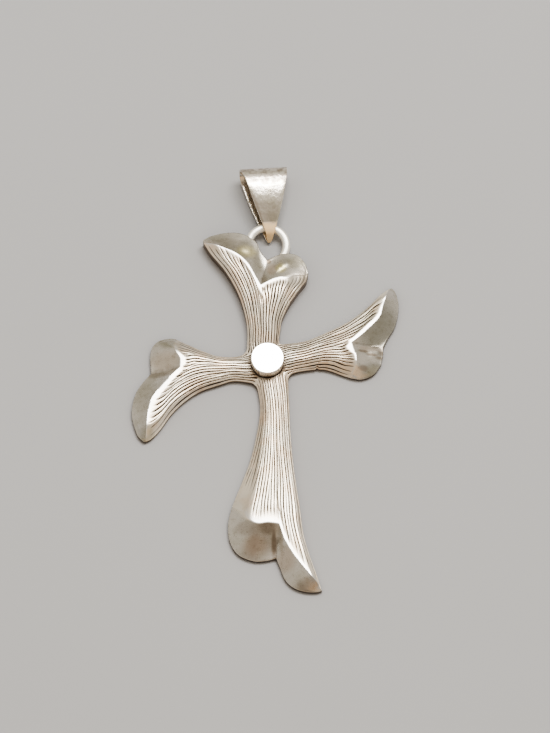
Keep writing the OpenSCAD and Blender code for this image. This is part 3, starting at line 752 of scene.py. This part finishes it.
def edge_normals(verts):
    """Level outward directions at the vertices of an open mesh's boundary."""
    found = {}
    for v in verts:
        total = Vector((0, 0))
        for e in v.link_edges:
            if len(e.link_faces) == 1:
                a, b = (w.co.xy for w in e.verts)
                total += flat_normal(a, b, (a + b) / 2 - e.link_faces[0].calc_center_median().xy)
        found[v] = total.normalized()
    return found


def extrude_rim(bm, edges, moves):
    """Extrudes a boundary once for each move, which gives each new vertex its place."""
    for move in moves:
        made = bmesh.ops.extrude_edge_only(bm, edges=edges)["geom"]
        for v in made:
            if isinstance(v, bmesh.types.BMVert):
                move(v)
        edges = [g for g in made if isinstance(g, bmesh.types.BMEdge)]
    bmesh.ops.contextual_create(bm, geom=edges)


def build_arms(material):
    a, f, _ = sizes()
    bm = bmesh.new()
    layers = {name: bm.verts.layers.float.new(name) for name in ("flute", "polish", "facet", "shade_and_tarnish", "soft")}
    layers["tint"] = bm.verts.layers.float_color.new("tint")
    vectors = bm.verts.layers.float_vector
    start, way = vectors.new("start"), vectors.new("way")
    seams = [v for side, form in ARM_FORMS.items() for v in arm_grid(bm, Arm(side, form), layers)]
    bmesh.ops.remove_doubles(bm, verts=seams, dist=WELD)
    pocket_r = f.button_d / 2 + f.button_gap
    for k in range(SOFT_PASSES):
        soft = [v for v in bm.verts if v[layers["soft"]] > k / SOFT_PASSES and not v.is_boundary]
        bmesh.ops.smooth_vert(bm, verts=soft, factor=0.5, use_axis_z=True)
    rim = [e for e in bm.edges if e.is_boundary]
    hole = [e for e in rim if all(abs(v.co.xy.length - pocket_r) < SHORT_EDGE for v in e.verts)]
    outline = set(rim) - set(hole)
    for v, normal in edge_normals({v for e in outline for v in e.verts}).items():
        v[start], v[way] = v.co, normal.to_3d()

    def outward(out, down=None, z=0.0, shade_and_tarnish=None):
        """Move from a vertex's start on the outline: out, and down or to a height, with its own painted
        shade.
        """
        def move(v):
            x, y, top = v[start]
            v.co = (x + v[way].x * out, y + v[way].y * out, z if down is None else top - down)
            if shade_and_tarnish is not None:
                v[layers["flute"]], v[layers["polish"]], v[layers["shade_and_tarnish"]] = 0, 0, shade_and_tarnish
        return move

    def inward(share, z):
        """Move to a share of the vertex's way out from the button's axis, and to a height."""
        def move(v):
            v.co = (v.co.x * share, v.co.y * share, z)
        return move

    out = a.edge_round
    turns = [pi / 2 * k / ROUND_STEPS for k in range(1, ROUND_STEPS + 1)]
    # The last turn of the rounded edge and the walls below it take painted shade, and the back fainter
    # painted shade
    moves = [outward(out * sin(turn), out * (1 - cos(turn)), shade_and_tarnish=None if turn < turns[-1] else UNDER_SHADE)
             for turn in turns]
    moves += [outward(out - BACK_ROUND * share, z=BACK_ROUND * rise, shade_and_tarnish=shade_and_tarnish)
              for share, rise, shade_and_tarnish in ((0, 1, UNDER_SHADE), (0.3, 0.3, UNDER_SHADE), (1, 0, BACK_SHADE))]
    extrude_rim(bm, list(outline), moves)
    peg = (f.peg_d / 2 + f.button_gap) / pocket_r
    socket_z = f.seat_h - f.peg_l - f.button_gap
    extrude_rim(bm, hole, [inward(1, f.seat_h), inward(peg, f.seat_h), inward(1, socket_z)])
    for name in ("start", "way"):
        vectors.remove(vectors[name])
    piece = add_piece(bm, "fluted_arms", material, 42)
    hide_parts("cross")
    return piece


def build_ring(material):
    _, f, _ = sizes()
    at, bm = places(), bmesh.new()
    upright = Matrix.Translation((f.ring_r, 0, 0)) @ Matrix.Rotation(pi / 2, 4, "X")
    section = bmesh.ops.create_circle(bm, segments=32, radius=f.ring_wire / 2, matrix=upright)["verts"]
    section += list({e for v in section for e in v.link_edges})
    bmesh.ops.spin(bm, geom=section, steps=128, **WHOLE_TURN)
    for v in bm.verts:
        around = atan2(v.co.y, v.co.x)
        across, through = (hypot(v.co.x, v.co.y) - f.ring_r) * 2 / f.ring_wire, v.co.z * 2 / f.ring_wire
        worn = (abs(across) ** WIRE_POWER + abs(through) ** WIRE_POWER) ** (-1 / WIRE_POWER) - 1
        wave = noise.noise(Vector((cos(around) * 2, sin(around) * 2, v.co.z / f.ring_wire))) * WIRE_WAVE
        middle = Vector((cos(around) * f.ring_r, sin(around) * f.ring_r, 0))
        v.co += (v.co - middle).normalized() * (worn * f.ring_wire / 2 + wave - WIRE_WORN)
    bm.transform(Matrix.Translation((0, at.ring_y, at.ring_z)) @ Matrix.Rotation(at.tilt, 4, "X"))
    piece = add_piece(bm, "solder_ring", material, 60)
    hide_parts("cross")
    return piece


def build_button(material):
    _, f, _ = sizes()
    r, foot = f.button_d / 2, f.seat_h + f.button_gap
    peg_r, peg_z = f.peg_d / 2, f.seat_h - f.peg_l
    top, soft = f.button_top, f.button_round
    profile = [(0, peg_z), (peg_r, peg_z), (peg_r, foot), (r - 0.05 * MM, foot), (r, foot + 0.05 * MM)]
    profile += [(r, mix(foot, top - soft, k / 8)) for k in range(1, 8)]
    profile += arc(r - soft, top - DOME - soft, soft, 0, pi / 2, 6)
    profile += [(r * share, top - DOME * ((share - 0.9) / 0.1) ** 2) for share in (0.96, 0.94, 0.92)]
    profile += [(r * share, top) for share in (0.9, 0.6, 0.35, 0)]
    bm = bmesh.new()
    verts = [bm.verts.new((x, 0, z)) for x, z in profile]
    edges = [bm.edges.new(pair) for pair in zip(verts, verts[1:])]
    bmesh.ops.spin(bm, geom=verts + edges, steps=144, **WHOLE_TURN)
    bmesh.ops.remove_doubles(bm, verts=bm.verts, dist=WELD)
    # Painted shade on the button's lower wall, partly tarnish at its foot
    layer = bm.verts.layers.float.new("shade_and_tarnish")
    for v in bm.verts:
        v[layer] = 1 - smooth((v.co.z - WALL_SHADE) / WALL_FADE)
    piece = add_piece(bm, "centre_button_polished", material, 50)
    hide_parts("centre_button")
    return piece


def arc(x, y, radius, start, end, count):
    """Points along an arc, both ends included."""
    turns = (mix(start, end, k / count) for k in range(count + 1))
    return [Vector((x + radius * cos(a), y + radius * sin(a))) for a in turns]


def strap_line(f, at):
    """Middle line of the strap from the joined tip along the back leaf, round the fold and back."""
    half = f.bail_t / 2
    fold_r = f.bail_depth / 2
    straight = f.bail_len - fold_r
    points = [Vector((straight * k / LEAF_STEPS, half)) for k in range(LEAF_STEPS)]
    points += arc(straight, fold_r, fold_r - half, -pi / 2, pi / 2, FOLD_STEPS)
    hug = arc(at.hug_y, at.hug_z, at.hug_r - half, HUG_START, HUG_END, HUG_STEPS)
    end = hug[0]
    start = Vector((straight, f.bail_depth - half))
    pull = 0.25 * f.bail_len
    low = start - Vector((pull, 0))
    high = end + pull * Vector((sin(HUG_START), -cos(HUG_START)))
    for k in range(1, LEAF_STEPS):
        b = k / LEAF_STEPS
        points.append(start * (1 - b) ** 3 + low * 3 * b * (1 - b) ** 2
                      + high * 3 * b * b * (1 - b) + end * b ** 3)
    tip = Vector((0, 3 * half))
    return points + hug + [hug[-1].lerp(tip, k / JOINT_STEPS) for k in range(1, JOINT_STEPS + 1)]


def strap_section(half_w, half_t, soft):
    """Points round the strap's section, across and through, with its corners rounded."""
    soft = min(soft, 0.9 * half_w, 0.9 * half_t)
    points = []
    for way_w, way_t, turn in ((1, 1, 0), (-1, 1, 1), (-1, -1, 2), (1, -1, 3)):
        for k in range(4):
            a = pi / 2 * (turn + k / 3)
            points.append((way_w * (half_w - soft) + soft * cos(a), way_t * (half_t - soft) + soft * sin(a)))
        if turn % 2 == 0:
            points += [(way_w * (half_w - soft) * mix(1, -1, k / 8), way_t * half_t) for k in range(1, 8)]
    return points


def build_bail(material):
    _, f, _ = sizes()
    at = places()
    line = strap_line(f, at)
    tip = f.bail_tip_w / 2
    sides = [(tip, tip)] + [(along * f.bail_len, across * f.bail_w) for along, across in STRAP_SIDES]

    def half_width(y):
        return sqrt(max(0.0, tip * tip - (tip - max(y, 0.12 * tip)) ** 2)) if y < tip else curve(sides, y)

    around = len(strap_section(1, 1, 0.1))
    bm = bmesh.new()
    peach_reflection, fold = (bm.verts.layers.float.new(name) for name in ("peach_reflection", "fold"))
    top = f.bail_len - f.bail_depth / 2
    last = len(line) - 1
    for (i, j), v in add_grid(bm, around, last).items():
        run = (line[min(last, i + 1)] - line[max(0, i - 1)]).normalized()
        wide, deep = strap_section(half_width(line[i].x), f.bail_t / 2, STRAP_ROUND)[j % around]
        v.co = Vector((wide, line[i].x + run.y * deep, line[i].y - run.x * deep))
        front = smooth((line[i].y - 0.5 * f.bail_depth) / (0.3 * f.bail_depth))
        uneven = noise.noise(Vector((v.co.x, v.co.y, 0)) / (1.1 * MM)) * 0.35 * MM
        v[fold] = front * smooth((v.co.y - top + 0.9 * MM + uneven) / (0.5 * MM))
        # Painted peach reflection near the tip, past the fold
        behind = i > LEAF_STEPS + FOLD_STEPS
        v[peach_reflection] = smooth((PEACH_REFLECTION_REACH - v.co.y + 0.5 * uneven) / (0.3 * MM)) if behind else 0
        v.co.z -= front * LOWERED * smooth((v.co.y - top + 1.3 * MM) / (2.2 * MM))
    bmesh.ops.remove_doubles(bm, verts=bm.verts, dist=0.2 * WELD)
    bmesh.ops.holes_fill(bm, edges=[e for e in bm.edges if e.is_boundary])
    place = (Matrix.Translation((0, at.wire_y, at.lift)) @ Matrix.Rotation(f.bail_lean, 4, "Z")
             @ Matrix.Rotation(f.bail_roll, 4, "Y") @ Matrix.Rotation(at.pitch, 4, "X")
             @ Matrix.Translation((0, -at.hug_y, 0)))
    bm.transform(place)
    piece = add_piece(bm, "folded_bail", material, 50)
    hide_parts("bail")
    return piece


# ---- finishes


class Wire:
    """An output socket that takes part in sums as a number does."""

    def __init__(self, finish, socket):
        self.finish, self.socket = finish, socket

    def sum(self, operation, a, b=0.0):
        return self.finish.node("ShaderNodeMath", {"operation": operation}, {0: a, 1: b})

    def __add__(self, other):
        return self.sum("ADD", self, other)

    def __sub__(self, other):
        return self.sum("SUBTRACT", self, other)

    def __rsub__(self, other):
        return self.sum("SUBTRACT", other, self)

    def __mul__(self, other):
        return self.sum("MULTIPLY", self, other)

    def between(self, low, high):
        """0 below low, 1 above high and smooth in between."""
        return self.finish.node("ShaderNodeMapRange", {"interpolation_type": "SMOOTHSTEP"},
                                {"Value": self, "From Min": low, "From Max": high})

    __radd__ = __add__
    __rmul__ = __mul__


class Finish:
    """Node tree of one finish, or of the room round the pendant."""

    def __init__(self, owner, surface="BSDF_PRINCIPLED"):
        self.owner = owner
        owner.use_nodes = True
        self.tree = owner.node_tree
        self.surface = next(n for n in self.tree.nodes if n.type == surface)

    def node(self, kind, settings=None, values=None, output=0):
        """Adds a node, sets its settings, then the values or links of its sockets."""
        made = self.tree.nodes.new(kind)
        for key, value in (settings or {}).items():
            setattr(made, key, value)
        for key, value in (values or {}).items():
            self.feed(made.inputs[key], value)
        return Wire(self, made.outputs[output])

    def feed(self, socket, value):
        if isinstance(value, Wire):
            self.tree.links.new(value.socket, socket)
        elif socket.type == "RGBA" and len(value) == 3:
            socket.default_value = (*value, 1)
        else:
            socket.default_value = value

    def set(self, **values):
        for key, value in values.items():
            self.feed(self.surface.inputs[key.replace("_", " ")], value)

    def mark(self, name):
        """A value painted on the mesh."""
        return self.node("ShaderNodeAttribute", {"attribute_name": name}, output=2)

    def speckle(self, size, stretch=(1, 1, 1), turn=0.0, detail=2.0):
        """Noise with features of a size, in metres, in the object's own place."""
        place = self.node("ShaderNodeTexCoord", output=3)
        place = self.node("ShaderNodeMapping", {},
                          {"Vector": place, "Rotation": (0, 0, turn), "Scale": stretch})
        return self.node("ShaderNodeTexNoise", {}, {"Vector": place, "Scale": 1 / size, "Detail": detail})

    def blend(self, a, b, share, kind="MIX"):
        """Colour between a and b."""
        return self.node("ShaderNodeMix", {"data_type": "RGBA", "blend_type": kind},
                         {0: share, 6: a, 7: b}, 2)

    def toned(self, base, tone, share):
        """Colour between a base and the same base under a tone."""
        return self.blend(base, self.blend(base, tone, 1.0, "MULTIPLY"), share)

    def relief(self, height, strength, distance):
        return self.node("ShaderNodeBump", {},
                         {"Height": height, "Strength": strength, "Distance": distance})


def scratches(finish):
    """Fine hand-polishing scratches in three directions, from 0 to 1."""
    lines = [finish.speckle(0.35 * MM, (0.12, 2.4, 1), turn, 3.0) for turn in (0.4, 1.5, 2.6)]
    return lines[0] * 0.4 + lines[1] * 0.3 + lines[2] * 0.3


def fluted_finish(colours):
    """Engraved and facetted silver with patina in its grooves, and painted shade, partly tarnish, on its
    walls, edges and creases.
    """
    finish = Finish(bpy.data.materials.new("fluted_silver"))
    flute, polish, facet, shade_and_tarnish = (finish.mark(n) for n in ("flute", "polish", "facet", "shade_and_tarnish"))
    tint = finish.node("ShaderNodeAttribute", {"attribute_name": "tint"})
    cloud, grain = finish.speckle(2.6 * MM), finish.speckle(0.16 * MM)
    spots = finish.speckle(0.8 * MM, detail=4.0)
    lines = scratches(finish)
    patina = (flute + (spots - 0.5) * 0.3).between(0.12, 0.6)
    stem = finish.toned(colours.crest, colours.blush, cloud.between(0.45, 0.65) * 0.7)
    stem = finish.blend(stem, colours.groove, patina)
    mottle = (spots * 0.4 + cloud * 0.6).between(0.42, 0.66)
    pits = finish.speckle(0.3 * MM, detail=3.0).between(0.52, 0.72)
    satin = finish.toned(colours.facet, colours.olive, mottle * 0.45)
    satin = finish.toned(satin, colours.umber_and_shade, pits * spots.between(0.4, 0.6) * 0.4)
    shade = finish.blend(stem, satin, facet)
    shade = finish.blend(shade, tint, 1.0, "MULTIPLY")
    # Painted shade, partly tarnish: darker on the walls and back, along the side edges, behind the ridges,
    # in the valleys and at the button's foot
    shade = finish.blend(shade, colours.tarnish, (shade_and_tarnish + (spots - 0.5) * 0.5).between(0.2, 1.1) * 0.85)
    shade = finish.blend(shade, colours.band, polish)
    rough = 0.37 + patina * 0.2 + (grain - 0.5) * 0.12
    rough = rough * (1 - facet) + facet * (0.27 + (cloud - 0.5) * 0.16 + (lines - 0.5) * 0.12)
    rough = rough * (1 - polish) + polish * (0.37 + (lines - 0.5) * 0.12)
    finish.set(Base_Color=shade, Roughness=rough, Metallic=0.82 + facet * 0.13 + polish * 0.18,
               Normal=finish.relief(lines * 0.4 + grain * 0.4 + spots * 0.8 + cloud * 0.6, 0.3, 0.03 * MM))
    return finish.owner


def polished_finish(colours):
    """Bright silver with fine wear, with painted shade on the button's lower wall, partly tarnish at its
    foot.
    """
    finish = Finish(bpy.data.materials.new("polished_silver"))
    shade_and_tarnish = finish.mark("shade_and_tarnish")
    cloud, lines = finish.speckle(1.6 * MM), scratches(finish)
    shade = finish.blend(colours.band, colours.crest, cloud.between(0.45, 0.75) * 0.4)
    # Painted shade on the lower wall, partly tarnish at the foot
    shade = finish.blend(shade, colours.tarnish, (shade_and_tarnish + (cloud - 0.5) * 0.4).between(0.15, 1.0) * 0.9)
    finish.set(Base_Color=shade, Roughness=0.15 + (lines - 0.5) * 0.14 + shade_and_tarnish * 0.2, Metallic=1.0,
               Normal=finish.relief(lines, 0.2, 0.01 * MM))
    return finish.owner


def ring_finish(colours):
    """Pale satin silver, with painted shade at the wire's grazing sides."""
    finish = Finish(bpy.data.materials.new("ring_silver"))
    cloud, spots, lines = finish.speckle(1.4 * MM), finish.speckle(0.4 * MM, detail=4.0), scratches(finish)
    shade = finish.blend(colours.ring, colours.crest, (cloud * 0.6 + spots * 0.4).between(0.5, 0.7) * 0.5)
    # Painted shade on the wire's sides where they turn away from the camera
    side = finish.node("ShaderNodeLayerWeight", {}, {"Blend": 0.5}, 1)
    shade = finish.blend(shade, colours.tarnish, side.between(0.7, 1.0) * 0.8)
    finish.set(Base_Color=shade, Roughness=0.36 + (lines - 0.5) * 0.16, Metallic=0.7,
               Normal=finish.relief(lines * 0.5 + spots * 0.5, 0.25, 0.015 * MM))
    return finish.owner


def strap_finish(colours):
    """Rolled and hand-finished silver strip, with a painted warm reflection at its tip."""
    finish = Finish(bpy.data.materials.new("strap_silver"))
    cloud, spots = finish.speckle(1.8 * MM, detail=3.0), finish.speckle(0.5 * MM, detail=4.0)
    lines, peach_reflection, fold = scratches(finish), finish.mark("peach_reflection"), finish.mark("fold")
    shade = finish.toned(colours.strap, colours.olive, (cloud * 0.6 + spots * 0.4).between(0.44, 0.62) * 0.8)
    shade = finish.blend(shade, colours.umber_and_shade, fold * (spots * 0.6 + cloud * 0.4).between(0.4, 0.6))
    # Painted peach reflection on the tip
    shade = finish.blend(shade, colours.peach_reflection, peach_reflection * (0.9 + (spots - 0.5) * 0.3))
    rough = 0.2 + (spots - 0.5) * 0.14 + (cloud - 0.5) * 0.1 + peach_reflection * 0.25 + fold * 0.15
    finish.set(Base_Color=shade, Roughness=rough, Metallic=0.95 - peach_reflection * 0.8,
               Normal=finish.relief(cloud * 1.6 + lines * 0.25 + spots * (0.7 + fold * 1.2), 0.4, 0.06 * MM))
    return finish.owner


def floor_finish(colours):
    """Plain pale matt floor."""
    finish = Finish(bpy.data.materials.new("pale_floor"))
    tone = tuple(c * 0.97 for c in colours.floor)
    finish.set(Base_Color=finish.blend(colours.floor, tone, finish.speckle(30 * MM)), Roughness=0.85)
    return finish.owner


# ---- operators


class PENDANT_OT_arms(bpy.types.Operator):
    """Build the four fluted arms with their ridges, facets and the button's pocket"""

    bl_idname = "pendant.arms"
    bl_label = "Fluted arms"

    def execute(self, context):
        build_arms(fluted_finish(context.scene.pendant_colours))
        return {"FINISHED"}


class PENDANT_OT_ring(bpy.types.Operator):
    """Build the round wire ring that is soldered into the top arm's notch"""

    bl_idname = "pendant.ring"
    bl_label = "Soldered ring"

    def execute(self, context):
        build_ring(ring_finish(context.scene.pendant_colours))
        return {"FINISHED"}


class PENDANT_OT_button(bpy.types.Operator):
    """Build the polished button on the crossing"""

    bl_idname = "pendant.button"
    bl_label = "Centre button"

    def execute(self, context):
        build_button(polished_finish(context.scene.pendant_colours))
        return {"FINISHED"}


class PENDANT_OT_bail(bpy.types.Operator):
    """Build the bail, a flared strap folded over and joined at its tip"""

    bl_idname = "pendant.bail"
    bl_label = "Folded bail"

    def execute(self, context):
        build_bail(strap_finish(context.scene.pendant_colours))
        return {"FINISHED"}


class PENDANT_OT_stage(bpy.types.Operator):
    """Set up the pale floor, the soft light and the camera"""

    bl_idname = "pendant.stage"
    bl_label = "Floor, light and camera"

    def execute(self, context):
        colours = context.scene.pendant_colours
        bm = bmesh.new()
        bmesh.ops.create_grid(bm, x_segments=8, y_segments=8, size=1.5)
        bm.transform(Matrix.Translation((0, 0, -0.02 * MM)))
        mesh_object(bm, "pale_floor", floor_finish(colours))
        add_lamp(colours.lamp)
        add_world()
        add_camera()
        view = context.scene.view_settings
        view.view_transform, view.look, view.exposure = "AgX", "AgX - High Contrast", 0.5
        return {"FINISHED"}


def add_lamp(shade):
    """A soft box with its long side from left to right, which looks at the pendant."""
    lamp = bpy.data.lights.new("soft_box", "AREA")
    lamp.shape = "RECTANGLE"
    lamp.size, lamp.size_y = LAMP_SIZE
    lamp.energy = LAMP_RADIANCE * pi * LAMP_SIZE[0] * LAMP_SIZE[1]
    lamp.color = shade
    holder = add_object("soft_box", lamp)
    way = Vector(LAMP_WAY).normalized()
    side = (Vector((1, 0, 0)) - way * way.x).normalized()
    holder.location = way * LAMP_AWAY
    holder.rotation_euler = Matrix((side, way.cross(side), way)).transposed().to_euler()


def add_world():
    """A dim plain room: dark overhead behind the camera, greener to the north and warm low in the south."""
    world = bpy.data.worlds.new("grey_room")
    bpy.context.scene.world = world
    room = Finish(world, "BACKGROUND")
    way = room.node("ShaderNodeTexCoord", output=0)
    shade = ROOM
    for light, direction, low, high in ROOM_LIGHTS:
        facing = room.node("ShaderNodeVectorMath", {"operation": "DOT_PRODUCT"}, {0: way, 1: direction}, 1)
        shade = room.blend(shade, light, facing.between(low, high))
    room.set(Color=shade)


def add_camera():
    """A long lens from 70 degrees above the floor, on the pendant's lower side."""
    data = bpy.data.cameras.new("camera")
    data.sensor_width, data.lens = SENSOR, LENS
    camera = add_object("camera", data)
    bpy.context.scene.camera = camera
    back = Vector((0, -cos(VIEW_ANGLE), sin(VIEW_ANGLE)))
    camera.location = Vector(VIEW_MIDDLE) * MM + back * PICTURE_H * LENS / SENSOR
    camera.rotation_euler = back.to_track_quat("Z", "Y").to_euler()
    data.clip_start, data.clip_end = 0.01, 10


class PENDANT_PT_panel(bpy.types.Panel):
    """Lists the pendant's pieces, sizes and colours"""

    bl_idname = "PENDANT_PT_panel"
    bl_label = "Cross pendant"
    bl_space_type = "VIEW_3D"
    bl_region_type = "UI"
    bl_category = "Pendant"

    def draw(self, context):
        for operator in OPERATORS:
            self.layout.operator(operator.bl_idname)
        scene = context.scene
        for group in (scene.pendant_arms, scene.pendant_fittings, scene.pendant_colours):
            box = self.layout.box()
            for name in group.__annotations__:
                box.prop(group, name)


GROUPS = {"pendant_arms": PendantArmSizes, "pendant_fittings": PendantFittingSizes,
          "pendant_colours": PendantColours}
OPERATORS = (PENDANT_OT_arms, PENDANT_OT_ring, PENDANT_OT_button, PENDANT_OT_bail, PENDANT_OT_stage)
CLASSES = (*GROUPS.values(), *OPERATORS, PENDANT_PT_panel)


def register():
    for cls in CLASSES:
        bpy.utils.register_class(cls)
    for name, group in GROUPS.items():
        setattr(bpy.types.Scene, name, PointerProperty(type=group))


def unregister():
    for name in GROUPS:
        delattr(bpy.types.Scene, name)
    for cls in reversed(CLASSES):
        bpy.utils.unregister_class(cls)


def main():
    register()
    bpy.ops.pendant.arms()
    bpy.ops.pendant.ring()
    bpy.ops.pendant.button()
    bpy.ops.pendant.bail()
    bpy.ops.pendant.stage()
    bpy.context.view_layer.update()


if __name__ == "__main__":
    main()
